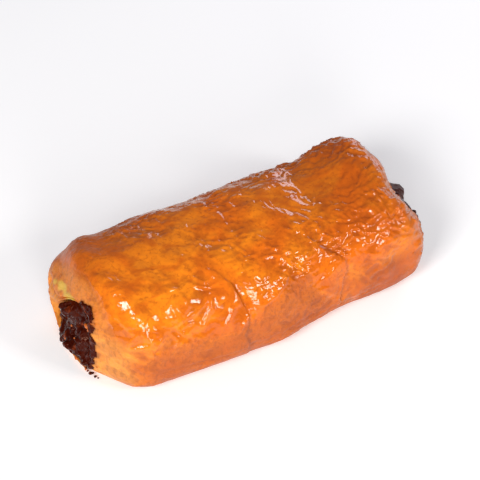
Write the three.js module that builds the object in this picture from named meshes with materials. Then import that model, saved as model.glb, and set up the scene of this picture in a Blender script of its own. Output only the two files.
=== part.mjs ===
// A baked pastry roll, open at both ends, with a chocolate cream filling that runs right through it.
// Millimetres. X runs along the roll, Y from its front to its back, Z up from the surface it lies on.
import * as THREE from "three";

// Driving sizes of the roll.
const LENGTH = 145;
const WIDTH = 64;
const HEIGHT = 43;
const WAIST_HEIGHT = 14;
const HALF_LENGTH = LENGTH / 2;
const HALF_WIDTH = WIDTH / 2;

// The section is a superellipse, fuller below than above, and its foot is cut flat.
const TOP_POWER = 2 / 2.5;
const FOOT_POWER = 2 / 3.4;
const FOOT_DROP = 1.3;

// Where the front, the back and the top swell out or dip in along the roll.
const FRONT_SWELLINGS = [
  { height: 5.2, place: -12, reach: 36 },
  { height: 1, place: 46, reach: 16 },
];
const BACK_SWELLINGS = [
  { height: -2, place: 0, reach: 28 },
  { height: -1.4, place: 34, reach: 16 },
  { height: -1, place: 60, reach: 10 },
];
const TOP_SWELLINGS = [
  { height: -2.4, place: 34, reach: 16 },
  { height: 2.4, place: 60, reach: 10 },
  { height: 1, place: -66, reach: 20 },
];

// Broad lumps of risen dough: crossing waves along the roll and around it.
const LUMPS = [
  { height: 0.42, spacing: 8, twist: 1.5, around: 3 },
  { height: 0.3, spacing: 4.3, twist: 2.1, around: 5 },
];

// The creases that run up over the front: each leans to the left by its bend times the square
// of the turn above its knee.
const CREASES = [
  { place: -12.5, knee: 2.85, bend: 11.7 },
  { place: 33.5, knee: 2.75, bend: 38 },
];
const CREASE_MIDDLE = 2.9;
const CREASE_SPREAD = 0.85;
const CREASE_REACH = 2.4;
const CREASE_DEPTH = 1.6;

// The cleft low on the back, over the foot, where the outer flap of dough ends.
const CLEFT_TURN = 0.1;
const CLEFT_SPREAD = 0.12;
const CLEFT_DEPTH = 2.2;

// The tunnel that holds the filling. Towards the ends the base under it thins, and its roof
// rises at the front and slopes down at the back.
const TUNNEL_WIDTH = 36.5;
const TUNNEL_HEIGHT = 22;
const TUNNEL_POWER = 2 / 4;
const TUNNEL_SHIFT = 2.2;
const BASE_THICKNESS = 3;
const BASE_THINNING = 1.6;
const ROOF_LIFT = 0.42;
const ROOF_SLUMP = 1.1;
const SLUMP_START = -4;
const SLUMP_END = 20;

// Each end rounds over in a lip. The left end bows out between its corners, the right end is
// dented in front, and both ends lean back at the top and are drawn in at the foot.
const LIP_DEPTH = 9;
const FRONT_BOW = 10;
const BACK_BOW = 7.8;
const LEFT_LEAN = 3.6;
const RIGHT_LEAN = 4.2;
const LEAN_START = 24;
const LEAN_END = 36;
const LEFT_FOOT_DRAW = 1.8;
const RIGHT_FOOT_DRAW = 2.5;
const FOOT_REACH = 6;
const DENT_DEPTH = 3.6;
const DENT_PLACE = -14;
const DENT_REACH = 9;
const DENT_START = 10;
const DENT_FULL = 20;

// The lip stands out furthest at its crest, a share of the wall's thickness out from the tunnel.
// Over the top and back of an end the crest spirals out, and a groove parts it from the inner wrap.
const FRONT_CREST = 0.05;
const BACK_CREST = 0.75;
const TOP_CREST = 0.25;
const CREST_BACK_TURN = 0.4;
const CREST_TOP_TURN = 1.7;
const FOLD_TURN = 0.85;
const FOLD_SPREAD = 0.75;
const GROOVE_PLACE = 0.22;
const GROOVE_REACH = 0.1;
const GROOVE_DEPTH = 2.6;
const INNER_BULGE = 2.4;
const INNER_BULGE_PLACE = 0.55;
const INNER_BULGE_REACH = 0.22;

// The filling sits back from the lips, most of all at the top. Its face is domed, and at the right
// end a lump of it has oozed out past the dough. The gap keeps it off the dough.
const MOUTH_RECESS = 2.6;
const TOP_RECESS = 2.3;
const LEFT_DOME = 2;
const RIGHT_DOME = 2;
const OOZE_DEPTH = 11.6;
const OOZE_Y = 5.5;
const OOZE_Z = 18.5;
const OOZE_REACH = 11;
const FILLING_MIDDLE_Y = 1;
const FILLING_MIDDLE_Z = 10;
const GAP_SHARE = 0.05;
const FACE_LUMP_HEIGHT = 0.7;
const FACE_LUMP_SPACING = 3.6;

// Facets: steps round the section, along the outside, over a lip, across the inner wrap,
// through the tunnel and over the filling's domed ends.
const AROUND = 56;
const OUTSIDE_STEPS = 36;
const LIP_STEPS = 6;
const INNER_STEPS = 9;
const TUNNEL_STEPS = 12;
const DOME_STEPS = 7;
const DOME_MIDDLE_SHARE = 0.6;

const FULL_TURN = 2 * Math.PI;
const { lerp, smoothstep } = THREE.MathUtils;

// A smooth hump of height 1 at a place, which fades out over its reach.
function hump(value, place, reach) {
  const offset = (value - place) / reach;
  return Math.exp(-offset * offset);
}

// The same for an angle round the section, which comes round again after a full turn.
function turnHump(turn, place, spread) {
  const offset = Math.atan2(Math.sin(turn - place), Math.cos(turn - place));
  return hump(offset, 0, spread);
}

function signedPower(value, power) {
  return Math.sign(value) * Math.abs(value) ** power;
}

function swelling(swellings, x) {
  return swellings.reduce((sum, one) => sum + one.height * hump(x, one.place, one.reach), 0);
}

function lumps(x, turn) {
  return LUMPS.reduce((sum, wave) => {
    const along = Math.sin(x / wave.spacing + wave.twist * Math.sin(2 * turn));
    return sum + wave.height * along * Math.cos(wave.around * turn + wave.twist);
  }, 0);
}

function creases(x, turn) {
  return CREASES.reduce((sum, crease) => {
    const place = crease.place - crease.bend * Math.min(0, turn - crease.knee) ** 2;
    return sum + CREASE_DEPTH * hump(x, place, CREASE_REACH) * turnHump(turn, CREASE_MIDDLE, CREASE_SPREAD);
  }, 0);
}

// A point of the outer section at x. The turn runs from the back over the top to the front.
function outerPoint(x, turn) {
  const across = Math.cos(turn);
  const rise = Math.sin(turn);
  const power = rise >= 0 ? TOP_POWER : FOOT_POWER;
  const relief = lumps(x, turn) - creases(x, turn) - CLEFT_DEPTH * turnHump(turn, CLEFT_TURN, CLEFT_SPREAD);
  const halfWidth = HALF_WIDTH + swelling(across > 0 ? BACK_SWELLINGS : FRONT_SWELLINGS, x) + relief;
  const crown = HEIGHT - WAIST_HEIGHT + swelling(TOP_SWELLINGS, x) + relief;
  const reach = rise >= 0 ? crown : WAIST_HEIGHT + FOOT_DROP;
  const z = WAIST_HEIGHT + reach * signedPower(rise, power);
  return new THREE.Vector3(x, halfWidth * signedPower(across, power), Math.max(0, z));
}

// A point of the tunnel's section at x, drawn in from the wall by a share of its reach.
function tunnelPoint(x, turn, inset) {
  const endShare = (x / HALF_LENGTH) ** 2;
  const across = (TUNNEL_WIDTH / 2) * signedPower(Math.cos(turn), TUNNEL_POWER);
  const up = (TUNNEL_HEIGHT / 2) * (1 + signedPower(Math.sin(turn), TUNNEL_POWER));
  const slope = ROOF_LIFT - ROOF_SLUMP * smoothstep(across, SLUMP_START, SLUMP_END);
  const base = BASE_THICKNESS - BASE_THINNING * endShare;
  const point = new THREE.Vector3(x, TUNNEL_SHIFT + across, base + up * (1 + endShare * slope));
  return point.lerp(new THREE.Vector3(x, FILLING_MIDDLE_Y, FILLING_MIDDLE_Z), inset);
}

// How far from the middle of the roll an end starts to round over, at a point of its section.
function endStart(side, point) {
  const across = point.y / HALF_WIDTH;
  const bow = (across < 0 ? FRONT_BOW : BACK_BOW) * across * across;
  const dented = hump(point.y, DENT_PLACE, DENT_REACH) * smoothstep(point.z, DENT_START, DENT_FULL);
  const lean = (side < 0 ? LEFT_LEAN : RIGHT_LEAN) * smoothstep(point.z, LEAN_START, LEAN_END);
  const draw = (side < 0 ? LEFT_FOOT_DRAW : RIGHT_FOOT_DRAW) * hump(point.z, 0, FOOT_REACH);
  return HALF_LENGTH - LIP_DEPTH - (side < 0 ? bow : DENT_DEPTH * dented) - lean - draw;
}

function mouthRecess(turn) {
  return MOUTH_RECESS + TOP_RECESS * Math.sin(turn);
}

// How far the tunnel's mouth lies past the place where the end starts to round over.
function mouthDepth(turn) {
  return LIP_DEPTH - mouthRecess(turn);
}

// A point of the tunnel's section at its mouth.
function mouthPoint(side, turn, inset) {
  const guide = tunnelPoint(side * (HALF_LENGTH - LIP_DEPTH), turn, inset);
  return tunnelPoint(side * (endStart(side, guide) + mouthDepth(turn)), turn, inset);
}

function foldShare(turn) {
  return turnHump(turn, FOLD_TURN, FOLD_SPREAD);
}

function crestShare(turn) {
  const spiral = lerp(BACK_CREST, TOP_CREST, smoothstep(turn, CREST_BACK_TURN, CREST_TOP_TURN));
  return lerp(FRONT_CREST, spiral, foldShare(turn));
}

// A point across an end. The share is 1 on the outer skin and 0 at the tunnel.
function endPoint(side, turn, share, depth) {
  const start = endStart(side, outerPoint(side * (HALF_LENGTH - LIP_DEPTH), turn));
  const point = mouthPoint(side, turn, 0).lerp(outerPoint(side * start, turn), share);
  point.x = side * (endStart(side, point) + depth);
  return point;
}

function ringOf(pointAt) {
  const ring = [];
  for (let step = 0; step < AROUND; step += 1) ring.push(pointAt((step / AROUND) * FULL_TURN));
  return ring;
}

// The rings of one end, from the outer skin over the lip and down to the tunnel.
function endRings(side) {
  const rings = [];
  for (let step = 1; step <= LIP_STEPS; step += 1) {
    const angle = (step / LIP_STEPS) * (Math.PI / 2);
    rings.push(ringOf((turn) => {
      const share = 1 - (1 - crestShare(turn)) * (1 - Math.cos(angle));
      return endPoint(side, turn, share, LIP_DEPTH * Math.sin(angle));
    }));
  }
  for (let step = 1; step < INNER_STEPS; step += 1) {
    const inward = step / INNER_STEPS;
    rings.push(ringOf((turn) => {
      const groove = GROOVE_DEPTH * hump(inward, GROOVE_PLACE, GROOVE_REACH);
      const bulge = INNER_BULGE * hump(inward, INNER_BULGE_PLACE, INNER_BULGE_REACH);
      const depth = LIP_DEPTH - mouthRecess(turn) * inward * inward + foldShare(turn) * (bulge - groove);
      return endPoint(side, turn, crestShare(turn) * (1 - inward), depth);
    }));
  }
  return rings;
}

// Rings of a section between the two ends, each point at its own share of the way.
function sideRings(steps, sectionPoint, endDepth) {
  const rings = [];
  const plainReach = HALF_LENGTH - LIP_DEPTH;
  for (let step = 0; step <= steps; step += 1) {
    const along = (2 * step) / steps - 1;
    const side = along < 0 ? -1 : 1;
    rings.push(ringOf((turn) => {
      const guide = sectionPoint(along * plainReach, turn);
      const reach = lerp(plainReach, endStart(side, guide), Math.abs(along));
      return sectionPoint(along * (reach + endDepth(turn)), turn);
    }));
  }
  return rings;
}

// Joins rings of points into one skin, which closes on itself or ends in two cap points.
function skin(rings, caps) {
  const points = rings.flat();
  const triangles = [];
  const spans = caps ? rings.length - 1 : rings.length;
  for (let ring = 0; ring < spans; ring += 1) {
    const near = ring * AROUND;
    const far = ((ring + 1) % rings.length) * AROUND;
    for (let step = 0; step < AROUND; step += 1) {
      const after = (step + 1) % AROUND;
      triangles.push(near + step, near + after, far + after);
      triangles.push(near + step, far + after, far + step);
    }
  }
  if (caps) {
    const first = points.length;
    const lastRing = first - AROUND;
    points.push(...caps);
    for (let step = 0; step < AROUND; step += 1) {
      const after = (step + 1) % AROUND;
      triangles.push(first, after, step);
      triangles.push(first + 1, lastRing + step, lastRing + after);
    }
  }
  const geometry = new THREE.BufferGeometry().setFromPoints(points);
  geometry.setIndex(triangles);
  geometry.computeVertexNormals();
  return geometry;
}

function doughGeometry() {
  const outside = sideRings(OUTSIDE_STEPS, outerPoint, () => 0);
  const tunnel = sideRings(TUNNEL_STEPS, (x, turn) => tunnelPoint(x, turn, 0), mouthDepth);
  return skin([...outside, ...endRings(1), ...tunnel.reverse(), ...endRings(-1).reverse()]);
}

// A point of the filling's lumpy face. The angle is 0 at its rim and a quarter turn at its middle.
function facePoint(side, turn, angle) {
  const middle = new THREE.Vector3(0, FILLING_MIDDLE_Y, FILLING_MIDDLE_Z);
  const point = middle.lerp(mouthPoint(side, turn, GAP_SHARE), Math.cos(angle));
  const wave = Math.sin(point.y / FACE_LUMP_SPACING + side) * Math.cos(point.z / FACE_LUMP_SPACING);
  const lump = FACE_LUMP_HEIGHT * wave * Math.sin(2 * angle);
  const dome = (side < 0 ? LEFT_DOME : RIGHT_DOME) * Math.sin(angle) ** 2;
  const oozed = hump(point.y, OOZE_Y, OOZE_REACH) * hump(point.z, OOZE_Z, OOZE_REACH);
  const ooze = side < 0 ? 0 : OOZE_DEPTH * oozed * (1 - Math.cos(angle) ** 4);
  point.x = side * (endStart(side, point) + mouthDepth(turn) + dome + ooze + lump);
  return point;
}

function faceRings(side) {
  const rings = [];
  for (let step = 1; step <= DOME_STEPS; step += 1) {
    const angle = (step / (DOME_STEPS + DOME_MIDDLE_SHARE)) * (Math.PI / 2);
    rings.push(ringOf((turn) => facePoint(side, turn, angle)));
  }
  return rings;
}

function fillingGeometry() {
  const plug = sideRings(TUNNEL_STEPS, (x, turn) => tunnelPoint(x, turn, GAP_SHARE), mouthDepth);
  const caps = [facePoint(-1, 0, Math.PI / 2), facePoint(1, 0, Math.PI / 2)];
  return skin([...faceRings(-1).reverse(), ...plug, ...faceRings(1)], caps);
}

const crustMaterial = new THREE.MeshStandardMaterial({ color: 0xc8651f, roughness: 0.25, metalness: 0 });
const creamMaterial = new THREE.MeshStandardMaterial({ color: 0x32130c, roughness: 0.35, metalness: 0 });

const dough = new THREE.Mesh(doughGeometry(), crustMaterial);
dough.name = "pastry_dough";
const filling = new THREE.Mesh(fillingGeometry(), creamMaterial);
filling.name = "chocolate_filling";

// The origin is the middle of the roll's foot.
const roll = new THREE.Group();
roll.add(dough, filling);
const bounds = new THREE.Box3().setFromObject(roll);
roll.position.set(-(bounds.min.x + bounds.max.x) / 2, -(bounds.min.y + bounds.max.y) / 2, -bounds.min.z);

export default roll;
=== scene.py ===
import math
import random

import bmesh
import bpy
from mathutils import Matrix, Vector, noise


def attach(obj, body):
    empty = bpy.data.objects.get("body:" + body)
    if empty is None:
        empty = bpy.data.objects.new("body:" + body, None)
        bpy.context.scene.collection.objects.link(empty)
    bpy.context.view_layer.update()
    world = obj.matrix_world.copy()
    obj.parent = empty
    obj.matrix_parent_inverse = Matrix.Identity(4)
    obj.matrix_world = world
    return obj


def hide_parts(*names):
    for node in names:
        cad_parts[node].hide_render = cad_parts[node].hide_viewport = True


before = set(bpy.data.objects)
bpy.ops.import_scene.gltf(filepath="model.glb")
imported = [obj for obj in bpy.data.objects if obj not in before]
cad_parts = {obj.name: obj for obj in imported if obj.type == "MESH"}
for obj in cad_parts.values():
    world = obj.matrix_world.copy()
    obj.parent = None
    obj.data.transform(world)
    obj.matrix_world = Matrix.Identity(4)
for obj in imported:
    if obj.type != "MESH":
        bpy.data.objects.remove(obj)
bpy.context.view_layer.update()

MM = 0.001

# Camera: the photograph's viewing angle, with a long lens
CAMERA_TURN = math.radians(-31)
CAMERA_RISE = math.radians(42)
CAMERA_DISTANCE = 1100
ROLL_MIDDLE_HEIGHT = 20
AIM_RIGHT = -1.49
AIM_UP = 7.36
PHOTO_PIXELS = 480
PIXELS_PER_MM = 2.585
SENSOR_WIDTH = 36
NEAREST_SEEN = 0.05

# Light: four soft panels and a pale room
SKY_COLOUR = (0.86, 0.84, 0.92, 1)
SKY_STRENGTH = 0.22
KEY_DIRECTION = Vector((0.38, -0.74, 0.54))
KEY_DISTANCE = 1200
KEY_SIZE = 250
KEY_POWER = 4.2
LEFT_DIRECTION = Vector((-0.68, -0.46, 0.6))
LEFT_DISTANCE = 1300
LEFT_SIZE = 400
LEFT_POWER = 11.4
FRONT_DIRECTION = Vector((-0.34, -0.86, 0.36))
FRONT_DISTANCE = 1200
FRONT_SIZE = 300
FRONT_POWER = 4.6
BACK_DIRECTION = Vector((0.82, 0.55, 0.26))
BACK_DISTANCE = 680
BACK_WIDTH = 460
BACK_HEIGHT = 200
BACK_POWER = 1.1
TABLE_GLOW = 0.24
TABLE_COLOUR = (0.9, 0.91, 0.92, 1)
TABLE_ROUGHNESS = 0.7
TABLE_SIDE = 4
WARM_WHITE = (1, 0.97, 0.93)
FRONT_WHITE = (1, 0.98, 0.95)
SOFT_WHITE = (1, 0.98, 0.96)
COOL_WHITE = (0.9, 0.88, 1)

# How a solid's loose triangles are joined into four-sided faces, and how finely those are cut
JOIN_DISTANCE = 0.01
FLAT_WITHIN = math.radians(50)
SQUARE_WITHIN = math.radians(60)
FINE_CUTS = 2

# The roll's axis, where its outside stops and its ends start, and the radii of its girth and rim
AXIS_Y = 1
AXIS_Z = 14
END_X = 75
END_START = 62
GIRTH_RADIUS = 30
RIM_RADIUS = 26

# The mouths at the two ends
MOUTH_Y = 1
MOUTH_Z = 14
MOUTH_HALF_WIDTH = 18.5
MOUTH_HALF_HEIGHT = 14.5

# Most pairs of numbers from here on are spans: where a change starts, and where it is full

# The left mouth's front lip laps over the filling
LIP_SHIFT = Vector((-0.6, 4, 0.8))
LIP_END = (-58, -66)
LIP_FRONT = (-3, -12)
LIP_REACH = (0.45, 0.05)
LIP_TOP = (33, 26)

# The right end's front corner draws in near the table and swells out above
CORNER_SHIFT = Vector((-1.4, 0.6, 0))
CORNER_END = (50, 64)
CORNER_FRONT = (-12, -24)
CORNER_TOP = (22, 8)
SWELL_SHIFT = Vector((1.6, -0.6, 0))
SWELL_END = (50, 68)
SWELL_MIDDLE = (-18, 17)
SWELL_REACH = (8, 6)

# Fine shape of the crust, in millimetres, and the seed that keeps it the same each time
SHAPE_SEED = 11
LUMP_SIZE = 9.5
LUMP_HEIGHT = 1.15
CRUMPLE_SIZE = 16
FINE_SIZE = 8
FLAKY_SIZE = 21
RIDGE_LEVEL = 0.4
WRINKLE_SHARPNESS = 2.2
CRINKLE_SHARPNESS = 2.0
CRINKLE_OFFSET = Vector((5, 3, 1))
WRINKLE_LENGTH = 4.8
WRINKLE_WIDTH = 3.1
WRINKLE_HEIGHT = 0.68
BROAD_WRINKLE_SHARE = 0.6
WRINKLE_SHIFT_SIZE = 7
WRINKLE_SHIFT = 3.2
CRINKLE_LENGTH = 2.5
CRINKLE_WIDTH = 1.6
CRINKLE_HEIGHT = 0.36
LAYER_SPACING = 5
LAYER_WANDER = 9
LAYER_WANDER_SIZE = 15
LAYER_FRAY = 2.6
LAYER_FRAY_SIZE = 4.5
LAYER_STEP = 0.5
LAYER_CREST = 0.92
LAYER_FALL = 0.08
PUCKER_SPACING = 2.2
PUCKER_HEIGHT = 0.4
PUCKER_LENGTH = 8
PUCKER_DEPTH = 12
FOLD_WIDTH = 1.1

# Lines on the crust, each a path of points in millimetres
LEFT_CREASE = [
    (-29.8, -10.5, 42.6),
    (-23.5, -18.2, 39.4),
    (-19.7, -24.2, 35.7),
    (-18.0, -29.4, 30.3),
    (-16.9, -31.9, 24.6),
    (-19.3, -34.0, 17.2),
    (-16.7, -32.6, 7.4),
    (-15.8, -31.0, 3.0),
]
GLAZE_EDGE = [
    (-16.9, -31.9, 24.6),
    (-11.6, -32.7, 25.8),
    (-5.8, -32.6, 27.1),
    (-1.5, -31.4, 29.2),
    (1.0, -30.2, 30.7),
    (3.1, -28.4, 33.0),
]
RIGHT_CREASE = [
    (16.2, -13.5, 39.4),
    (18.7, -18.8, 37.2),
    (21.9, -23.2, 34.0),
    (29.4, -27.2, 27.4),
    (29.3, -29.1, 22.7),
    (26.7, -30.5, 18.9),
    (25.6, -31.0, 12.4),
    (24.7, -29.5, 5.0),
]
SHOULDER_FOLD = [
    (-68.4, 11.7, 38.2),
    (-68.1, 4.2, 40.8),
    (-67.2, 1.0, 41.9),
    (-63.1, -0.9, 43.5),
    (-59.3, -1.0, 44.0),
]
CORNER_FOLD = [
    (-68.3, 3.2, 40.4),
    (-67.8, -1.5, 41.1),
    (-68.6, -4.4, 39.7),
    (-69.3, -8.5, 37.0),
]
FOOT_LINE = [
    (-65.0, -25.4, 11.2),
    (-55.1, -30.8, 12.4),
    (-38.7, -32.3, 10.7),
    (-17.2, -33.4, 9.9),
    (5.2, -33.2, 10.9),
    (30.1, -29.9, 8.9),
    (53.0, -30.3, 10.5),
]

# Each crease: its path, the side that laps over it, how deep it is cut and how high the lap stands
CREASES = [
    (FOOT_LINE, Vector((0, 0, 1)), 0.2, 0.35),
    (LEFT_CREASE, Vector((-1, 0, 0)), 0.3, 0.7),
    (GLAZE_EDGE, Vector((-0.3, 0, 1)), 0.15, 0.6),
    (RIGHT_CREASE, Vector((-1, 0, 0)), 0.5, 0.6),
    (SHOULDER_FOLD, Vector((0, -0.3, 1)), 0.3, 0.4),
    (CORNER_FOLD, Vector((1, 0, 0.2)), 0.2, 0.4),
]
CREASE_REACH = 7
CREASE_WANDER = 0.8
LAP_WIDTH = 3

# The strip of yellow, underbaked dough over the left mouth
RAW_DOUGH = [
    (-72.6, 17.5, 29.4),
    (-72.6, 10.7, 29.9),
    (-72.4, 3.7, 29.6),
]
RAW_DOUGH_X = -60
RAW_WIDTH = (2.4, 0.8)
RAW_FRAY = 1.8

# The wet glaze ends at a wandering height on the front, and lower at the back
GLAZE_FRONT = (4, -10)
GLAZE_HEIGHT = 21
GLAZE_RISE = 6
GLAZE_RISE_LEFT = (-14, -10)
GLAZE_RISE_RIGHT = (20, 6)
GLAZE_DROP = 11
GLAZE_DROP_PART = (12, 22)
GLAZE_FADE = 3.5
GLAZE_BACK_HEIGHT = (16, 8)
GLAZE_LEFT_BACK = (-20, -45)
GLAZE_BACK_SIDE = (0, 8)
GLAZE_LEFT_END = (-66.5, -68.5)
GLAZE_RIGHT_END = (67, 69)
GLAZE_UNDERSIDE = (-0.3, -0.7)

# How much darker each part of the crust is, by painted shade and uneven baking, and where the crust is paler
# or tan
DARKER_TOP = 0.85
DARKER_BACK = 0.55
DARKER_LOW_RIGHT = 1.35
DARKER_LOW_FRONT = 0.6
DARKER_TOP_PART = (-5, 45)
DARKER_TOP_HEIGHT = (24, 40)
DARKER_BACK_SIDE = (4, 26)
DARKER_RIGHT_PART = (10, 45)
DARKER_RIGHT_HEIGHT = (26, 16)
DARKER_FRONT_PART = (-62, -50)
DARKER_FRONT_HEIGHT = (22, 12)
PALE_PART = (-60, -68)
PALE_HEIGHT = (29, 23)
PALE_MOUTH = (-67, -70)
TAN_PART = (53, 59)
TAN_HEIGHT = (16, 26)

# Chocolate smeared over the dough, and the pit in the left mouth's chocolate
STAIN_START_X = 60
STAIN_REACH = 0.02
STAIN_EDGE = (0.08, -0.04)
STAIN_LEFT_END = (-67, -69)
STAIN_RIGHT_END = (62, 66)
LEFT_STAIN = 0.38
LEFT_STAIN_Y = -5
LEFT_STAIN_WIDTH = 7
LEFT_STAIN_HEIGHT = (22, 28)
RIGHT_STAIN = 0.25
RIGHT_STAIN_Y = -16
RIGHT_STAIN_WIDTH = 8
RIGHT_STAIN_HEIGHT = (16, 21)
SMEAR_START = 0.4
SMEAR_HEIGHT = 0.45
SMEAR_WALL = 0.5
CHOCOLATE_PIT = Vector((-74, -7, 20))
CHOCOLATE_PIT_DEPTH = 2.5
CHOCOLATE_PIT_REACH = 4

# The chocolate's broken faces: where they start, the hump on each, the sunk left front and the lumps
FACE_TILT = 0.35
FACE_START = 55
FACE_TURN = (0.3, 0.8)
FACE_SPAN = (55, 60)
OOZE_HEIGHT = 2.6
OOZE_MIDDLE = (-2, 20.5)
OOZE_REACH = (6, 5)
HUMP_HEIGHT = 5
HUMP_MIDDLE = (10, 22.5)
HUMP_REACH = (6, 5)
SUNK_DEPTH = 3
SUNK_FRONT = (-9, -14)
RIGHT_LUMP_SHARE = 0.25
RIGHT_LIFT = 0.4
LUMP_SPACING = 5.2
LUMP_BEND_SIZE = 5
LUMP_BEND = 2.5
CRACK_WIDTH = 0.45

# Crumbs and flakes: each crumb is a place and a size in millimetres
CRUMB_SEED = 7
CRUMB_DENTING = 0.45
CRUMB_DENTS = 2.6
CRUMB_NARROWING = 0.75
CHOCOLATE_CRUMB_FLATNESS = 0.8
DOUGH_CRUMB_FLATNESS = 0.6
CHOCOLATE_CRUMBS = [
    (-72.3, -7.2, 1.0, 1.7),
    (-71.6, -9.6, 0.9, 1.3),
    (-72.6, -5.4, 0.7, 0.9),
    (-70.9, -10.6, 0.5, 0.8),
    (-71.9, -8.4, 1.8, 1.2),
    (-72.9, -6.1, 1.7, 1.0),
]
DOUGH_CRUMBS = [
    (-73.0, -7.0, 25.8, 2.4),
    (-72.6, -7.8, 24.0, 1.8),
    (-76.4, -3.8, 8.2, 1.9),
    (-75.4, 0.6, 21.0, 1.0),
    (-75.6, -1.6, 16.4, 0.8),
    (-76.6, 4.2, 12.0, 0.9),
]
FLAKE_COUNT = 60
FLAKE_LENGTHS = (0.8, 2.2)
FLAKE_LEAN = 0.3
FLAKE_THICKNESS = 0.16
FLAKE_FOOT_HEIGHT = 5
FLAKE_FOOT_Y = -20
FLAKE_RIGHT_X = 59
FLAKE_LEFT_X = -70

# Parts of the crust, and the upper edge of the calmer crust low at the front
FRONT_SIDE = (2, -8)
FRONT_SLOPE = (-8, -18)
LEFT_PART = (-8, -20)
RIGHT_PART = (10, 20)
LEFT_BAND = (-60, -67)
LEFT_RIM = (-60, -70)
RIGHT_RIM = (52, 62)
FLAKY_PART = (-20, 30)
FOOT = (0.3, 3.5)
LOW_EDGE = 25
LOW_EDGE_DROP = 8
LOW_EDGE_WIDTH = 8
LEFT_RIM_SHARE = 0.3

# How far a face points away from the roll's axis, from -1 to 1, to count as outside, end or seen
OUTSIDE_LEAN = 0.25
END_LEAN = -0.6
SEEN_LEAN = (-0.7, -0.1)

# How far a face points upwards, from -1 to 1, where the underside is left coarse and made smoother
UNDERSIDE_LEAN = -0.75
UNDERSIDE_FADE = (-0.4, -0.8)

# Finish of the crust and the chocolate, with the sizes of its patches in millimetres
BROAD_PATCH = 17
SMALL_PATCH = 6
FINE_SPOT = 1.4
VEIN_SIZE = 4.5
FIBRE_SIZE = 1.7
STREAK_SIZE = 4
ALONG_ROLL = (0.7, 1, 1)
DIMPLED_PART = (-12, 8)
PATTERN_WANDER = 0.5
PATTERN_TURN = (0.5, 0.35, 0.6)
DRY_ROUGHNESS = 0.45
WET_ROUGHNESS = 0.07
CRUST_SHINE = 0.42
FILM_SIZE = 3.4
FILM_HEIGHT = 0.1
DIMPLE_SIZE = 2
DIMPLE_HEIGHT = 0.22
GRAIN_SIZE = 1.3
GRAIN_HEIGHT = 0.34
CHOCOLATE_SHINE = 0.14
CHOCOLATE_LUMP_HEIGHT = 0.8
CHOCOLATE_GRAIN_HEIGHT = 0.28


def smooth_step(low, high, value):
    share = min(max((value - low) / (high - low), 0), 1)
    return share * share * (3 - 2 * share)


def linear(red, green, blue):
    """A colour from its three screen values, 0 to 255."""
    shares = (part / 255 for part in (red, green, blue))
    return tuple(s / 12.92 if s <= 0.04045 else ((s + 0.055) / 1.055) ** 2.4 for s in shares) + (1,)


def set_camera():
    right = Vector((math.cos(CAMERA_TURN), math.sin(CAMERA_TURN), 0))
    level = math.cos(CAMERA_RISE)
    back = Vector((math.sin(CAMERA_TURN) * level, -math.cos(CAMERA_TURN) * level, math.sin(CAMERA_RISE)))
    up = back.cross(right)
    aim = Vector((0, 0, ROLL_MIDDLE_HEIGHT)) + right * AIM_RIGHT + up * AIM_UP
    lens = bpy.data.cameras.new("photo_camera")
    lens.sensor_width = SENSOR_WIDTH
    lens.lens = SENSOR_WIDTH * CAMERA_DISTANCE * PIXELS_PER_MM / PHOTO_PIXELS
    lens.clip_start = NEAREST_SEEN
    camera = bpy.data.objects.new("photo_camera", lens)
    bpy.context.scene.collection.objects.link(camera)
    turned = Matrix((right, up, back)).transposed().to_4x4()
    camera.matrix_world = Matrix.Translation((aim + back * CAMERA_DISTANCE) * MM) @ turned
    bpy.context.scene.camera = camera


def add_panel(name, direction, distance, width, height, power, colour):
    panel = bpy.data.lights.new(name, "AREA")
    panel.shape = "RECTANGLE"
    panel.size = width * MM
    panel.size_y = height * MM
    panel.energy = power
    panel.color = colour
    lamp = bpy.data.objects.new(name, panel)
    bpy.context.scene.collection.objects.link(lamp)
    outward = direction.normalized()
    place = Vector((0, 0, ROLL_MIDDLE_HEIGHT)) * MM + outward * distance * MM
    lamp.matrix_world = Matrix.Translation(place) @ outward.to_track_quat("Z", "Y").to_matrix().to_4x4()


def set_light():
    world = bpy.data.worlds.new("pale_room")
    world.use_nodes = True
    sky = world.node_tree.nodes["Background"]
    sky.inputs["Color"].default_value = SKY_COLOUR
    sky.inputs["Strength"].default_value = SKY_STRENGTH
    bpy.context.scene.world = world
    add_panel("key_panel", KEY_DIRECTION, KEY_DISTANCE, KEY_SIZE, KEY_SIZE, KEY_POWER, WARM_WHITE)
    add_panel(
        "front_panel", FRONT_DIRECTION, FRONT_DISTANCE, FRONT_SIZE, FRONT_SIZE, FRONT_POWER, FRONT_WHITE
    )
    add_panel("left_panel", LEFT_DIRECTION, LEFT_DISTANCE, LEFT_SIZE, LEFT_SIZE, LEFT_POWER, SOFT_WHITE)
    add_panel("back_panel", BACK_DIRECTION, BACK_DISTANCE, BACK_WIDTH, BACK_HEIGHT, BACK_POWER, COOL_WHITE)
    bpy.context.scene.view_settings.view_transform = "Standard"


def select_only(thing):
    bpy.ops.object.select_all(action="DESELECT")
    thing.select_set(True)
    bpy.context.view_layer.objects.active = thing


def unpick_all(mesh):
    """Leaves none of the mesh's points and edges selected."""
    for vertex in mesh.vertices:
        vertex.select = False
    for edge in mesh.edges:
        edge.select = False


def make_floor():
    bpy.ops.mesh.primitive_plane_add(size=TABLE_SIDE, location=(0, 0, 0))
    floor = bpy.context.active_object
    floor.name = "pale_table"
    paint = bpy.data.materials.new("pale_table")
    paint.use_nodes = True
    shader = paint.node_tree.nodes["Principled BSDF"]
    shader.inputs["Base Color"].default_value = TABLE_COLOUR
    shader.inputs["Roughness"].default_value = TABLE_ROUGHNESS
    shader.inputs["Emission Color"].default_value = (1, 1, 1, 1)
    shader.inputs["Emission Strength"].default_value = TABLE_GLOW
    floor.data.materials.append(paint)


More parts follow.
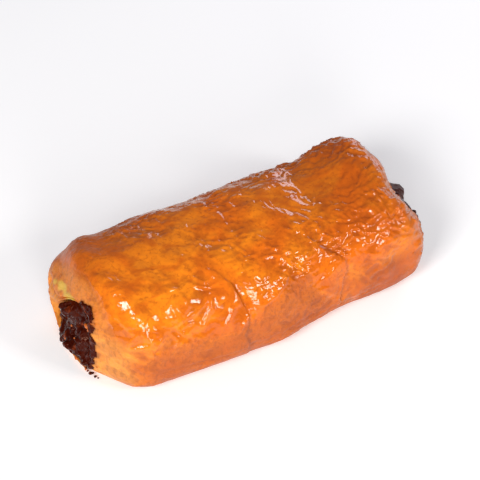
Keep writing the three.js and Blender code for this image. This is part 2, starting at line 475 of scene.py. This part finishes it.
def copy_of(node_name, piece_name):
    """A piece made from a solid: its loose triangles joined and paired into four-sided faces."""
    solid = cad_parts[node_name]
    piece = bpy.data.objects.new(piece_name, solid.data.copy())
    bpy.context.scene.collection.objects.link(piece)
    piece.data.materials.clear()
    select_only(piece)
    bpy.ops.object.mode_set(mode="EDIT")
    bpy.ops.mesh.select_all(action="SELECT")
    bpy.ops.mesh.customdata_custom_splitnormals_clear()
    bpy.ops.mesh.remove_doubles(threshold=JOIN_DISTANCE * MM)
    bpy.ops.mesh.tris_convert_to_quads(face_threshold=FLAT_WITHIN, shape_threshold=SQUARE_WITHIN)
    bpy.ops.object.mode_set(mode="OBJECT")
    return piece


def round_off(piece):
    select_only(piece)
    rounding = piece.modifiers.new("rounding", "SUBSURF")
    rounding.levels = 1
    rounding.render_levels = 1
    bpy.ops.object.modifier_apply(modifier=rounding.name)


def refine(piece, wanted, cuts):
    """Splits the faces that wanted(centre in mm, normal) picks into finer ones."""
    select_only(piece)
    mesh = piece.data
    unpick_all(mesh)
    for face in mesh.polygons:
        face.select = wanted(face.center / MM, face.normal)
    bpy.ops.object.mode_set(mode="EDIT")
    bpy.ops.mesh.select_mode(type="FACE")
    bpy.ops.mesh.subdivide(number_cuts=cuts, smoothness=0)
    bpy.ops.object.mode_set(mode="OBJECT")


def keep_values(piece, name, values):
    """Stores one number for each point of the piece, for its material to read."""
    store = piece.data.attributes.new(name, "FLOAT", "POINT")
    store.data.foreach_set("value", values)


def outward_of(place):
    return Vector((0, place.y - AXIS_Y, place.z - AXIS_Z)).normalized()


def nearest_on(path, place):
    """The distance from a place to a path, the side vector to it, and the share gone along the path."""
    best = (1e9, Vector(), 0)
    for number in range(len(path) - 1):
        start = Vector(path[number])
        along = Vector(path[number + 1]) - start
        share = min(max((place - start).dot(along) / along.length_squared, 0), 1)
        apart = place - start - along * share
        if apart.length < best[0]:
            best = (apart.length, apart, (number + share) / (len(path) - 1))
    return best


def path_box(path, margin):
    lows = [min(point[axis] for point in path) - margin for axis in range(3)]
    highs = [max(point[axis] for point in path) + margin for axis in range(3)]
    return lows, highs


def within(box, place):
    return all(box[0][axis] < place[axis] < box[1][axis] for axis in range(3))


def noise_at(place, size, offset=0):
    """Smooth noise in patches of about this size, and another pattern for each offset."""
    spot = (place.x / size + offset, place.y / size - offset, place.z / size + 0.7 * offset)
    return noise.noise(Vector(spot))


def ridge(value, sharpness):
    return max(1 - abs(value) * sharpness, 0)


def shifted(place):
    """The place moved about a little, so that the wrinkles run less straight."""
    return place + noise.noise_vector(place / WRINKLE_SHIFT_SIZE) * WRINKLE_SHIFT


def from_mouth(place):
    """How far out from the rim of a mouth a place lies, as a share of the mouth's size."""
    across = abs(place.y - MOUTH_Y) / MOUTH_HALF_WIDTH
    upward = abs(place.z - MOUTH_Z) / MOUTH_HALF_HEIGHT
    return (across**3 + upward**3) ** (1 / 3) - 1


def mound_at(place, middle, reach):
    """1 at the middle of a round mound on an end of the roll, given by Y and Z, and 0 far from it."""
    across = (place.y - middle[0]) / reach[0]
    upward = (place.z - middle[1]) / reach[1]
    return math.exp(-(across**2) - upward**2)


def lip_shift(place):
    """The left mouth's front lip laps over the filling."""
    front = smooth_step(*LIP_END, place.x) * smooth_step(*LIP_FRONT, place.y)
    near = smooth_step(*LIP_REACH, from_mouth(place)) * smooth_step(*LIP_TOP, place.z)
    return LIP_SHIFT * front * near


def corner_shift(place):
    """The right end's front corner swells out above and draws in near the table."""
    low = smooth_step(*CORNER_END, place.x) * smooth_step(*CORNER_FRONT, place.y)
    low *= smooth_step(*CORNER_TOP, place.z)
    swollen = smooth_step(*SWELL_END, place.x) * mound_at(place, SWELL_MIDDLE, SWELL_REACH)
    return CORNER_SHIFT * low + SWELL_SHIFT * swollen


def stretched(place, length, width):
    return Vector((place.x / length, place.y / width, place.z / width))


def wrinkles_at(place):
    """Ridges like those of crumpled film, between smooth hollows."""
    ridges = ridge(noise.noise(stretched(place, WRINKLE_LENGTH, WRINKLE_WIDTH)), WRINKLE_SHARPNESS)
    return ridges * ridges


def crinkles_at(place):
    """The same kind of ridges, smaller and at other places."""
    moved = stretched(place, CRINKLE_LENGTH, CRINKLE_WIDTH) + CRINKLE_OFFSET
    ridges = ridge(noise.noise(moved), CRINKLE_SHARPNESS)
    return ridges * ridges


def layers_at(place):
    """Edges of thin pastry layers: each rises slowly and ends in a small step."""
    across = math.atan2(place.z - AXIS_Z, AXIS_Y - place.y) * GIRTH_RADIUS
    wandering = across + LAYER_WANDER * noise_at(place, LAYER_WANDER_SIZE, 4)
    wandering += LAYER_FRAY * noise_at(place, LAYER_FRAY_SIZE, 9)
    share = (wandering / LAYER_SPACING) % 1
    return share if share < LAYER_CREST else (1 - share) / LAYER_FALL * LAYER_CREST


def rim_share(place):
    """1 at the puckered rim of the right end, less at the left one's, 0 on the rest of the crust."""
    return max(LEFT_RIM_SHARE * smooth_step(*LEFT_RIM, place.x), smooth_step(*RIGHT_RIM, place.x))


def low_front_share(place):
    """1 on the calmer crust low at the front, 0 above and behind it."""
    edge = LOW_EDGE - LOW_EDGE_DROP * smooth_step(*RIGHT_PART, place.x)
    return smooth_step(*FRONT_SIDE, place.y) * smooth_step(edge, edge - LOW_EDGE_WIDTH, place.z)


def crust_relief(place):
    """How far the crust stands out at a place, and how much painted shade lies in its hollows there (0 to
    1).
    """
    low_front = low_front_share(place)
    rim = rim_share(place)
    moved = shifted(place)
    crumple = 0.2 + 0.8 * smooth_step(-0.2, 0.25, noise_at(place, CRUMPLE_SIZE, 7))
    fine = 0.25 + 0.75 * smooth_step(-0.25, 0.2, noise_at(place, FINE_SIZE, 13))
    left_front = smooth_step(*LEFT_PART, place.x) * smooth_step(*FRONT_SLOPE, place.y)
    wrinkle = wrinkles_at(moved)
    wrinkle += left_front * (wrinkles_at(moved * BROAD_WRINKLE_SHARE) - wrinkle)
    crinkle = crinkles_at(moved)
    flaky = 0.35 + 0.65 * smooth_step(*FLAKY_PART, place.x)
    flaky *= smooth_step(-0.25, 0.25, noise_at(place, FLAKY_SIZE, 11))
    flaky *= (1 - low_front) * (1 - 0.6 * rim)
    height = LUMP_HEIGHT * noise_at(place, LUMP_SIZE, 2) * (1 - 0.5 * low_front)
    calm = (1 - 0.5 * low_front) * (1 - 0.85 * smooth_step(*LEFT_BAND, place.x))
    calm *= 1 + 0.35 * left_front
    height += WRINKLE_HEIGHT * crumple * (wrinkle - RIDGE_LEVEL) * calm
    height += CRINKLE_HEIGHT * fine * (crinkle - RIDGE_LEVEL) * calm * (1 - 0.7 * left_front)
    height += LAYER_STEP * flaky * (layers_at(place) - 0.5)
    if rim > 0:
        around = math.atan2(place.z - AXIS_Z, place.y - AXIS_Y) * RIM_RADIUS
        gathered = Vector((place.x / PUCKER_LENGTH, around / PUCKER_SPACING, place.z / PUCKER_DEPTH))
        height += PUCKER_HEIGHT * rim * noise.noise(gathered)
    # Painted shade in the hollows between the wrinkles and the crinkles
    hollow_shade = smooth_step(0.2, 0.0, wrinkle) * crumple
    return height, 0.45 * hollow_shade + 0.25 * fine * smooth_step(0.25, 0.0, crinkle)


def creases_at(place, boxes):
    """Each crease is a narrow cut with painted shade in it, and the side that laps over it stands a little
    higher.
    """
    height = 0
    crease_shade = 0
    for (path, high_side, cut, step), box in zip(CREASES, boxes):
        if not within(box, place):
            continue
        along = CREASE_WANDER * noise_at(place, 4, 1)
        upward = CREASE_WANDER * noise_at(place, 4, 6)
        wavy = place + Vector((along, 0, upward))
        distance, apart, share = nearest_on(path, wavy)
        if distance > CREASE_REACH:
            continue
        fade = smooth_step(0, 0.35, share) * smooth_step(1, 0.9, share)
        groove = math.exp(-((distance / FOLD_WIDTH) ** 2)) * smooth_step(-0.45, 0.25, noise_at(place, 6, 21))
        height -= cut * groove * fade
        side = apart.dot(high_side) / max(distance, 0.01)
        lap = smooth_step(0, 0.25, side) * math.exp(-((distance / LAP_WIDTH) ** 2))
        height += step * lap * fade * smooth_step(0.15, 0.8, distance)
        # Painted shade along the crease's cut
        crease_shade = max(crease_shade, 0.45 * groove * fade)
    return height, crease_shade


def glaze_share(place, normal):
    """1 where the wet glaze lies on the crust, 0 where it is dry."""
    front = smooth_step(*GLAZE_FRONT, place.y)
    edge = GLAZE_HEIGHT + 4.5 * noise_at(place, 13, 5) + 1.6 * noise_at(place, 3.5, 8)
    raised = GLAZE_RISE * smooth_step(*GLAZE_RISE_LEFT, place.x) * smooth_step(*GLAZE_RISE_RIGHT, place.x)
    lowered = GLAZE_DROP * smooth_step(*GLAZE_DROP_PART, place.x)
    edge += raised - lowered
    edge += 2.4 * noise_at(place, 1.8, 2)
    low = front * smooth_step(edge + GLAZE_FADE, edge - GLAZE_FADE, place.z)
    behind = (1 - front) * smooth_step(*GLAZE_BACK_HEIGHT, place.z + 2 * noise_at(place, 6, 4))
    end = smooth_step(*GLAZE_LEFT_END, place.x + 0.8 * noise_at(place, 4, 2))
    left_back = 0.6 * smooth_step(*GLAZE_LEFT_BACK, place.x)
    left_back *= smooth_step(*GLAZE_BACK_SIDE, place.y + 3 * noise_at(place, 8, 9))
    right_end = smooth_step(*GLAZE_RIGHT_END, place.x + 0.8 * noise_at(place, 4, 3))
    under = smooth_step(*GLAZE_UNDERSIDE, normal.z)
    return 1 - max(low, behind, left_back, end, 0.8 * right_end, under)


def pale_share(place):
    """How pale the crust is: most low at the left end, half as much round its mouth, 0 elsewhere."""
    left = smooth_step(*PALE_PART, place.x + 3 * noise_at(place, 8, 12)) * smooth_step(*PALE_HEIGHT, place.z)
    mouth = smooth_step(*PALE_MOUTH, place.x)
    return max(left, 0.5 * mouth)


def tan_share(place):
    """How tan the puckered rim of the right end is, most in its upper part, and 0 elsewhere."""
    rim = smooth_step(*TAN_PART, place.x + 2.5 * noise_at(place, 5, 14))
    return rim * (0.25 + 0.45 * smooth_step(*TAN_HEIGHT, place.z))


def bake_and_shade_share(place):
    """How much darker the crust is, most of all low at the right: painted shade there, over the right top,
    at the back and low at the front, broken up by uneven baking.
    """
    top = smooth_step(*DARKER_TOP_PART, place.x) * smooth_step(*DARKER_TOP_HEIGHT, place.z)
    back = smooth_step(*DARKER_BACK_SIDE, place.y)
    low_right = smooth_step(*DARKER_RIGHT_PART, place.x) * smooth_step(*DARKER_RIGHT_HEIGHT, place.z)
    low_right *= smooth_step(*FRONT_SIDE, place.y)
    low_front = smooth_step(*DARKER_FRONT_HEIGHT, place.z) * smooth_step(*FRONT_SIDE, place.y)
    low_front *= smooth_step(*DARKER_FRONT_PART, place.x)
    low = max(DARKER_LOW_RIGHT * low_right, DARKER_LOW_FRONT * low_front)
    darkened = DARKER_TOP * top + DARKER_BACK * back + low
    return max(0, darkened - 0.35 * noise_at(place, 12, 17) - 0.1) * (1 - rim_share(place) * 0.3)


def raw_share(place):
    """How strongly yellow, underbaked dough shows: 0.8 on the strip over the left mouth, 0 elsewhere."""
    if place.x > RAW_DOUGH_X:
        return 0
    distance, _, _ = nearest_on(RAW_DOUGH, place)
    return 0.8 * smooth_step(*RAW_WIDTH, distance + RAW_FRAY * noise_at(place, 2.5, 16))


def stain_share(place):
    """1 where chocolate has smeared over the dough round a mouth."""
    if abs(place.x) < STAIN_START_X:
        return 0
    ragged = 0.1 * noise_at(place, 3.4, 4) + 0.05 * noise_at(place, 1.6, 2)
    reach = STAIN_REACH
    if place.x < 0:
        middle = math.exp(-(((place.y - LEFT_STAIN_Y) / LEFT_STAIN_WIDTH) ** 2))
        reach += LEFT_STAIN * middle * smooth_step(*LEFT_STAIN_HEIGHT, place.z)
        reach -= 0.1 * smooth_step(26, 20, place.z) + 0.1 * smooth_step(14, 5, place.z)
        reach -= 0.8 * smooth_step(-1, 5, place.y)
    else:
        middle = math.exp(-(((place.y - RIGHT_STAIN_Y) / RIGHT_STAIN_WIDTH) ** 2))
        reach += RIGHT_STAIN * middle * smooth_step(*RIGHT_STAIN_HEIGHT, place.z)
    outer = smooth_step(*STAIN_LEFT_END, place.x) + smooth_step(*STAIN_RIGHT_END, place.x)
    return smooth_step(*STAIN_EDGE, from_mouth(place) + ragged - reach) * min(outer, 1)


def make_crust():
    crust = copy_of("pastry_dough", "glazed_crust")
    round_off(crust)

    def is_outside(centre, normal):
        return normal.dot(outward_of(centre)) > OUTSIDE_LEAN and abs(centre.x) < END_X

    def is_end(centre, normal):
        turned_out = normal.dot(outward_of(centre)) > END_LEAN
        return abs(centre.x) > END_START and turned_out and not is_outside(centre, normal)

    refine(crust, lambda centre, normal: is_outside(centre, normal) and normal.z > UNDERSIDE_LEAN, FINE_CUTS)
    refine(crust, is_end, FINE_CUTS)
    mesh = crust.data
    boxes = [path_box(crease[0], CREASE_REACH) for crease in CREASES]
    places = [vertex.co / MM for vertex in mesh.vertices]
    normals = [vertex.normal.copy() for vertex in mesh.vertices]
    kept = {name: [] for name in ("glaze", "crease_shade", "pale", "tan", "bake_and_shade", "raw", "stain")}
    for vertex, place, normal in zip(mesh.vertices, places, normals):
        seen = smooth_step(*SEEN_LEAN, normal.dot(outward_of(place)))
        height, crease_shade = crust_relief(place)
        cut, cut_shade = creases_at(place, boxes)
        foot = smooth_step(*FOOT, place.z)
        under = 1 - 0.7 * smooth_step(*UNDERSIDE_FADE, normal.z)
        rise = (height * under + cut) * seen * foot
        vertex.co = (place + normal * rise + lip_shift(place) + corner_shift(place)) * MM
        kept["glaze"].append(glaze_share(place, normal))
        # Painted shade of the hollows and the creases
        kept["crease_shade"].append(max(crease_shade, cut_shade))
        kept["pale"].append(pale_share(place))
        kept["tan"].append(tan_share(place))
        kept["bake_and_shade"].append(bake_and_shade_share(place))
        kept["raw"].append(raw_share(place))
        kept["stain"].append(stain_share(place))
    for vertex in mesh.vertices:
        vertex.co.z = max(vertex.co.z, 0)
    mesh.update()
    for name, values in kept.items():
        keep_values(crust, name, values)
    crust.data.materials.append(crust_finish())
    select_only(crust)
    bpy.ops.object.shade_smooth()
    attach(crust, "root")
    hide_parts("pastry_dough")
    make_smears(crust, kept["stain"])
    make_crumbs(crust)


def make_smears(crust, stain):
    """Chocolate pressed out over the dough round the two mouths, lifted off the crust's own faces."""
    smears = bpy.data.objects.new("chocolate_smears", crust.data.copy())
    bpy.context.scene.collection.objects.link(smears)
    smears.data.materials.clear()
    mesh = smears.data
    lifts = []
    for vertex, stained in zip(mesh.vertices, stain):
        share = smooth_step(SMEAR_START, 1, stained)
        lifts.append(vertex.normal * MM * share * SMEAR_HEIGHT * (1 + noise_at(vertex.co / MM, 1.4, 5)))
    for vertex, lift in zip(mesh.vertices, lifts):
        vertex.co += lift
    unpick_all(mesh)
    for face in mesh.polygons:
        face.select = min(stain[number] for number in face.vertices) < SMEAR_START
    select_only(smears)
    bpy.ops.object.mode_set(mode="EDIT")
    bpy.ops.mesh.select_mode(type="FACE")
    bpy.ops.mesh.delete(type="FACE")
    bpy.ops.object.mode_set(mode="OBJECT")
    wall = smears.modifiers.new("wall", "SOLIDIFY")
    wall.thickness = SMEAR_WALL * MM
    wall.offset = -1
    bpy.ops.object.modifier_apply(modifier=wall.name)
    smears.data.materials.append(chocolate_finish())
    bpy.ops.object.shade_smooth()
    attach(smears, "root")


def oozed_at(place):
    """How much further than the solid the filling is pressed out at the right end."""
    return OOZE_HEIGHT * mound_at(place, OOZE_MIDDLE, OOZE_REACH)


def pit_at(place):
    """How deep the pit in the left mouth's chocolate is at a place."""
    apart = (place - CHOCOLATE_PIT).length_squared / CHOCOLATE_PIT_REACH**2
    return CHOCOLATE_PIT_DEPTH * math.exp(-apart)


def lumps_of_chocolate(place):
    """Broken, sticky lumps with cracks between them, and painted shade in the cracks."""
    moved = place + noise.noise_vector(place / LUMP_BEND_SIZE) * LUMP_BEND
    distances, _ = noise.voronoi(moved / LUMP_SPACING, distance_metric="DISTANCE")
    gap = smooth_step(0, CRACK_WIDTH, distances[1] - distances[0])
    height = 1.1 * (gap - 0.8)
    height += 2 * noise_at(place, 7, 3)
    height += 1.1 * noise_at(place, 3, 6)
    height += 0.25 * noise_at(place, 1.4, 1)
    return height, 1 - gap


def make_filling():
    filling = copy_of("chocolate_filling", "chocolate_cream")
    round_off(filling)

    def is_face(centre, normal):
        return abs(normal.x) > FACE_TILT and abs(centre.x) > FACE_START

    refine(filling, is_face, FINE_CUTS)
    mesh = filling.data
    places = [vertex.co / MM for vertex in mesh.vertices]
    normals = [vertex.normal.copy() for vertex in mesh.vertices]
    crack_shades, shade_and_matte = [], []
    for vertex, place, normal in zip(mesh.vertices, places, normals):
        face = smooth_step(*FACE_TURN, abs(normal.x)) * smooth_step(*FACE_SPAN, abs(place.x))
        height, crack_shade = lumps_of_chocolate(place)
        side = math.copysign(1, place.x)
        outward = Vector((side, 0.5 * normal.y, 0.5 * normal.z))
        if side > 0:
            outward.z = 0.5 * normal.z + RIGHT_LIFT
            height = RIGHT_LUMP_SHARE * height + oozed_at(place)
        else:
            hump = HUMP_HEIGHT * mound_at(place, HUMP_MIDDLE, HUMP_REACH)
            height = height + hump - SUNK_DEPTH * smooth_step(*SUNK_FRONT, place.y) - pit_at(place)
        vertex.co = (place + outward * height * face) * MM
        crack_shades.append(crack_shade * face)
        # Darker, rougher chocolate at the right end: painted shade in its colour, and a real matte finish
        shade_and_matte.append(smooth_step(0, 1, place.x))
    mesh.update()
    keep_values(filling, "crack_shade", crack_shades)
    keep_values(filling, "shade_and_matte", shade_and_matte)
    filling.data.materials.append(chocolate_finish())
    select_only(filling)
    bpy.ops.object.shade_smooth()
    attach(filling, "root")
    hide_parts("chocolate_filling")


def add_lump(mesh_builder, place, size, flatness, outward):
    """One crumb: a small closed ball, dented all over, and flattened along the outward direction."""
    turned = outward.to_track_quat("Z", "Y").to_matrix()
    ball = bmesh.ops.create_icosphere(mesh_builder, subdivisions=2, radius=0.5)
    for vertex in ball["verts"]:
        bumpy = 1 + CRUMB_DENTING * noise.noise(vertex.co * CRUMB_DENTS + place)
        flat = Vector((vertex.co.x, vertex.co.y * CRUMB_NARROWING, vertex.co.z * flatness)) * bumpy * size
        vertex.co = (place + turned @ flat) * MM


def finish_crumbs(builder, name, finish):
    mesh = bpy.data.meshes.new(name)
    builder.to_mesh(mesh)
    builder.free()
    crumbs = bpy.data.objects.new(name, mesh)
    bpy.context.scene.collection.objects.link(crumbs)
    mesh.materials.append(finish)
    mesh.shade_smooth()
    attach(crumbs, "root")


def make_crumbs(crust):
    dark_crumbs = bmesh.new()
    for x, y, z, size in CHOCOLATE_CRUMBS:
        add_lump(dark_crumbs, Vector((x, y, z)), size, CHOCOLATE_CRUMB_FLATNESS, Vector((0, 0, 1)))
    finish_crumbs(dark_crumbs, "chocolate_crumbs", chocolate_finish())
    draw = random.Random(CRUMB_SEED)
    rims = []
    for vertex in crust.data.vertices:
        place = vertex.co / MM
        foot = place.z < FLAKE_FOOT_HEIGHT and place.y < FLAKE_FOOT_Y
        rim = place.x > FLAKE_RIGHT_X or place.x < FLAKE_LEFT_X
        if (foot or rim) and vertex.normal.z > -0.5:
            rims.append((place.copy(), vertex.normal.copy()))
    flakes = bmesh.new()
    for place, normal in draw.sample(rims, FLAKE_COUNT):
        leaning = Vector((draw.uniform(-1, 1), draw.uniform(-1, 1), draw.uniform(-1, 1)))
        outward = (normal + FLAKE_LEAN * leaning).normalized()
        add_lump(flakes, place, draw.uniform(*FLAKE_LENGTHS), FLAKE_THICKNESS, outward)
    for x, y, z, size in DOUGH_CRUMBS:
        add_lump(flakes, Vector((x, y, z)), size, DOUGH_CRUMB_FLATNESS, Vector((-1, 0, 0)))
    finish_crumbs(flakes, "crust_flakes", crust.data.materials[0])


class Finish:
    """A material under way: its nodes and the links between them."""

    def __init__(self, name):
        self.material = bpy.data.materials.new(name)
        self.material.use_nodes = True
        self.tree = self.material.node_tree
        self.shader = self.tree.nodes["Principled BSDF"]
        self.place = self.node("ShaderNodeTexCoord").outputs["Object"]

    def node(self, kind):
        return self.tree.nodes.new(kind)

    def feed(self, socket, value):
        if isinstance(value, bpy.types.NodeSocket):
            self.tree.links.new(value, socket)
        else:
            socket.default_value = value

    def stored(self, name):
        """A number kept on the piece's points."""
        node = self.node("ShaderNodeAttribute")
        node.attribute_name = name
        return node.outputs["Fac"]

    def cloudy(self, size, detail=3, stretch=(1, 1, 1), kind="FBM"):
        """A cloudy pattern from 0 to 1 whose blots are about size millimetres across."""
        mapping = self.node("ShaderNodeMapping")
        self.feed(mapping.inputs["Vector"], self.place)
        mapping.inputs["Rotation"].default_value = PATTERN_TURN
        mapping.inputs["Scale"].default_value = stretch
        clouds = self.node("ShaderNodeTexNoise")
        self.feed(clouds.inputs["Vector"], mapping.outputs["Vector"])
        clouds.inputs["Scale"].default_value = 1 / (size * MM)
        clouds.inputs["Detail"].default_value = detail
        clouds.inputs["Distortion"].default_value = PATTERN_WANDER
        clouds.noise_type = kind
        return clouds.outputs["Fac"]

    def between(self, value, low, high, out_low=0, out_high=1):
        node = self.node("ShaderNodeMapRange")
        node.interpolation_type = "SMOOTHSTEP"
        self.feed(node.inputs["Value"], value)
        node.inputs["From Min"].default_value = low
        node.inputs["From Max"].default_value = high
        node.inputs["To Min"].default_value = out_low
        node.inputs["To Max"].default_value = out_high
        return node.outputs["Result"]

    def sum_of(self, kind, first, second):
        node = self.node("ShaderNodeMath")
        node.operation = kind
        self.feed(node.inputs[0], first)
        self.feed(node.inputs[1], second)
        return node.outputs["Value"]

    def blend(self, share, first, second):
        node = self.node("ShaderNodeMix")
        node.data_type = "RGBA"
        self.feed(node.inputs["Factor"], share)
        self.feed(node.inputs[6], first)
        self.feed(node.inputs[7], second)
        return node.outputs[2]

    def raise_by(self, height, distance, strength, below=None):
        node = self.node("ShaderNodeBump")
        node.inputs["Distance"].default_value = distance * MM
        node.inputs["Strength"].default_value = strength
        self.feed(node.inputs["Height"], height)
        if below is not None:
            self.feed(node.inputs["Normal"], below)
        return node.outputs["Normal"]


# Colours, from screen values
CRUST_BRIGHT = linear(240, 132, 20)
CRUST_MID = linear(224, 108, 14)
CRUST_DARK = linear(160, 67, 10)
CRUST_BLOTCH = linear(140, 62, 18)
CRUST_DRY = linear(200, 100, 10)
CRUST_PALE = linear(246, 158, 58)
CRUST_TAN = linear(196, 104, 36)
# Painted shade for the creases and the hollows of the wrinkles
CRUST_CREASE_SHADE = linear(120, 46, 12)
RAW_YELLOW = linear(222, 184, 74)
RAW_GREEN = linear(190, 160, 40)
# The smeared chocolate's colour, also used for painted shade on the right end's chocolate
CHOCOLATE_SMEAR_AND_SHADE = linear(66, 20, 10)
CHOCOLATE_DEEP = linear(60, 12, 3)
CHOCOLATE_LIGHT = linear(136, 54, 16)
CHOCOLATE_SHEEN = linear(255, 190, 160)


def crust_finish():
    finish = Finish("glazed_crust")
    glaze = finish.stored("glaze")
    broad = finish.between(finish.cloudy(BROAD_PATCH, 5), 0.38, 0.64)
    small = finish.between(finish.cloudy(SMALL_PATCH, 6, ALONG_ROLL), 0.44, 0.7)
    fine = finish.between(finish.cloudy(FINE_SPOT, 5), 0.5, 0.7)
    colour = finish.blend(broad, CRUST_BRIGHT, CRUST_MID)
    colour = finish.blend(finish.sum_of("MULTIPLY", small, 0.6), colour, CRUST_DARK)
    veins = finish.between(finish.cloudy(VEIN_SIZE, 4, (0.6, 1, 1), "RIDGED_MULTIFRACTAL"), 0.62, 0.95)
    colour = finish.blend(finish.sum_of("MULTIPLY", veins, 0.35), colour, CRUST_DARK)
    colour = finish.blend(finish.sum_of("MULTIPLY", fine, 0.4), colour, CRUST_DARK)
    dry = finish.blend(finish.sum_of("MULTIPLY", small, 0.5), CRUST_DRY, CRUST_BLOTCH)
    dry = finish.blend(finish.sum_of("MULTIPLY", fine, 0.4), dry, CRUST_BLOTCH)
    colour = finish.blend(glaze, dry, colour)
    # Painted shade over the back, the right top and low at the front, broken up by uneven baking
    colour = finish.blend(finish.sum_of("MULTIPLY", finish.stored("bake_and_shade"), 0.6), colour, CRUST_DARK)
    pale = finish.sum_of("MULTIPLY", finish.stored("pale"), 0.8)
    colour = finish.blend(pale, colour, CRUST_PALE)
    colour = finish.blend(finish.sum_of("MULTIPLY", small, 0.4), colour, CRUST_MID)
    fibres = finish.between(finish.cloudy(FIBRE_SIZE, 4, (1, 1, 0.6)), 0.46, 0.66)
    dry_fibres = finish.sum_of("MULTIPLY", fibres, finish.between(glaze, 0, 1, 0.34, 0))
    colour = finish.blend(dry_fibres, colour, CRUST_BLOTCH)
    # Painted shade in the creases and in the hollows of the wrinkles
    colour = finish.blend(finish.sum_of("MULTIPLY", finish.stored("crease_shade"), 0.65), colour, CRUST_CREASE_SHADE)
    colour = finish.blend(finish.stored("tan"), colour, finish.blend(small, CRUST_TAN, CRUST_MID))
    raw_dough = finish.blend(small, RAW_YELLOW, RAW_GREEN)
    colour = finish.blend(finish.stored("raw"), colour, raw_dough)
    colour = finish.blend(finish.stored("stain"), colour, CHOCOLATE_SMEAR_AND_SHADE)
    finish.feed(finish.shader.inputs["Base Color"], colour)
    dry_or_wet = finish.between(glaze, 0, 1, DRY_ROUGHNESS, WET_ROUGHNESS)
    rough = finish.sum_of("ADD", dry_or_wet, finish.sum_of("MULTIPLY", finish.stored("tan"), 0.12))
    patchy = finish.between(finish.cloudy(7, 3), 0.5, 0.75, 0, 0.1)
    finish.feed(finish.shader.inputs["Roughness"], finish.sum_of("ADD", rough, patchy))
    finish.shader.inputs["Specular IOR Level"].default_value = CRUST_SHINE
    ridges = finish.cloudy(FILM_SIZE, 1, ALONG_ROLL, "RIDGED_MULTIFRACTAL")
    film = finish.raise_by(ridges, FILM_HEIGHT, 1)
    dimpled = finish.between(finish.cloudy(8, 2), 0.42, 0.62, 0.12, 1)
    along = finish.node("ShaderNodeSeparateXYZ")
    finish.feed(along.inputs["Vector"], finish.place)
    right_part = finish.between(along.outputs["X"], DIMPLED_PART[0] * MM, DIMPLED_PART[1] * MM, 0.35, 1)
    dimpled = finish.sum_of("MULTIPLY", dimpled, right_part)
    dimples = finish.sum_of("MULTIPLY", finish.cloudy(DIMPLE_SIZE, 1.5, ALONG_ROLL), dimpled)
    pits = finish.raise_by(dimples, DIMPLE_HEIGHT, 1, film)
    dryness = finish.between(glaze, 0, 1, 1, 0.15)
    grain = finish.sum_of("MULTIPLY", finish.cloudy(GRAIN_SIZE, 3), dryness)
    finish.feed(finish.shader.inputs["Normal"], finish.raise_by(grain, GRAIN_HEIGHT, 0.9, pits))
    return finish.material


def chocolate_finish():
    finish = Finish("chocolate_cream")
    streaks = finish.between(finish.cloudy(STREAK_SIZE, 5), 0.52, 0.72)
    colour = finish.blend(streaks, CHOCOLATE_DEEP, CHOCOLATE_LIGHT)
    # Painted shade in the cracks between the lumps
    colour = finish.blend(finish.stored("crack_shade"), colour, CHOCOLATE_DEEP)
    # Painted shade over the right end's chocolate
    colour = finish.blend(finish.sum_of("MULTIPLY", finish.stored("shade_and_matte"), 0.8), colour, CHOCOLATE_SMEAR_AND_SHADE)
    finish.feed(finish.shader.inputs["Base Color"], colour)
    patchy = finish.between(finish.cloudy(1.5, 3), 0.4, 0.7, 0.06, 0.2)
    rough = finish.sum_of("ADD", patchy, finish.sum_of("MULTIPLY", finish.stored("shade_and_matte"), 0.35))
    finish.feed(finish.shader.inputs["Roughness"], rough)
    finish.shader.inputs["Specular IOR Level"].default_value = CHOCOLATE_SHINE
    finish.shader.inputs["Specular Tint"].default_value = CHOCOLATE_SHEEN
    lumps = finish.raise_by(finish.cloudy(2.6, 1), CHOCOLATE_LUMP_HEIGHT, 1)
    grain = finish.raise_by(finish.cloudy(1.1, 1), CHOCOLATE_GRAIN_HEIGHT, 1, lumps)
    finish.feed(finish.shader.inputs["Normal"], grain)
    return finish.material


noise.seed_set(SHAPE_SEED)
set_camera()
set_light()
make_floor()
make_crust()
make_filling()
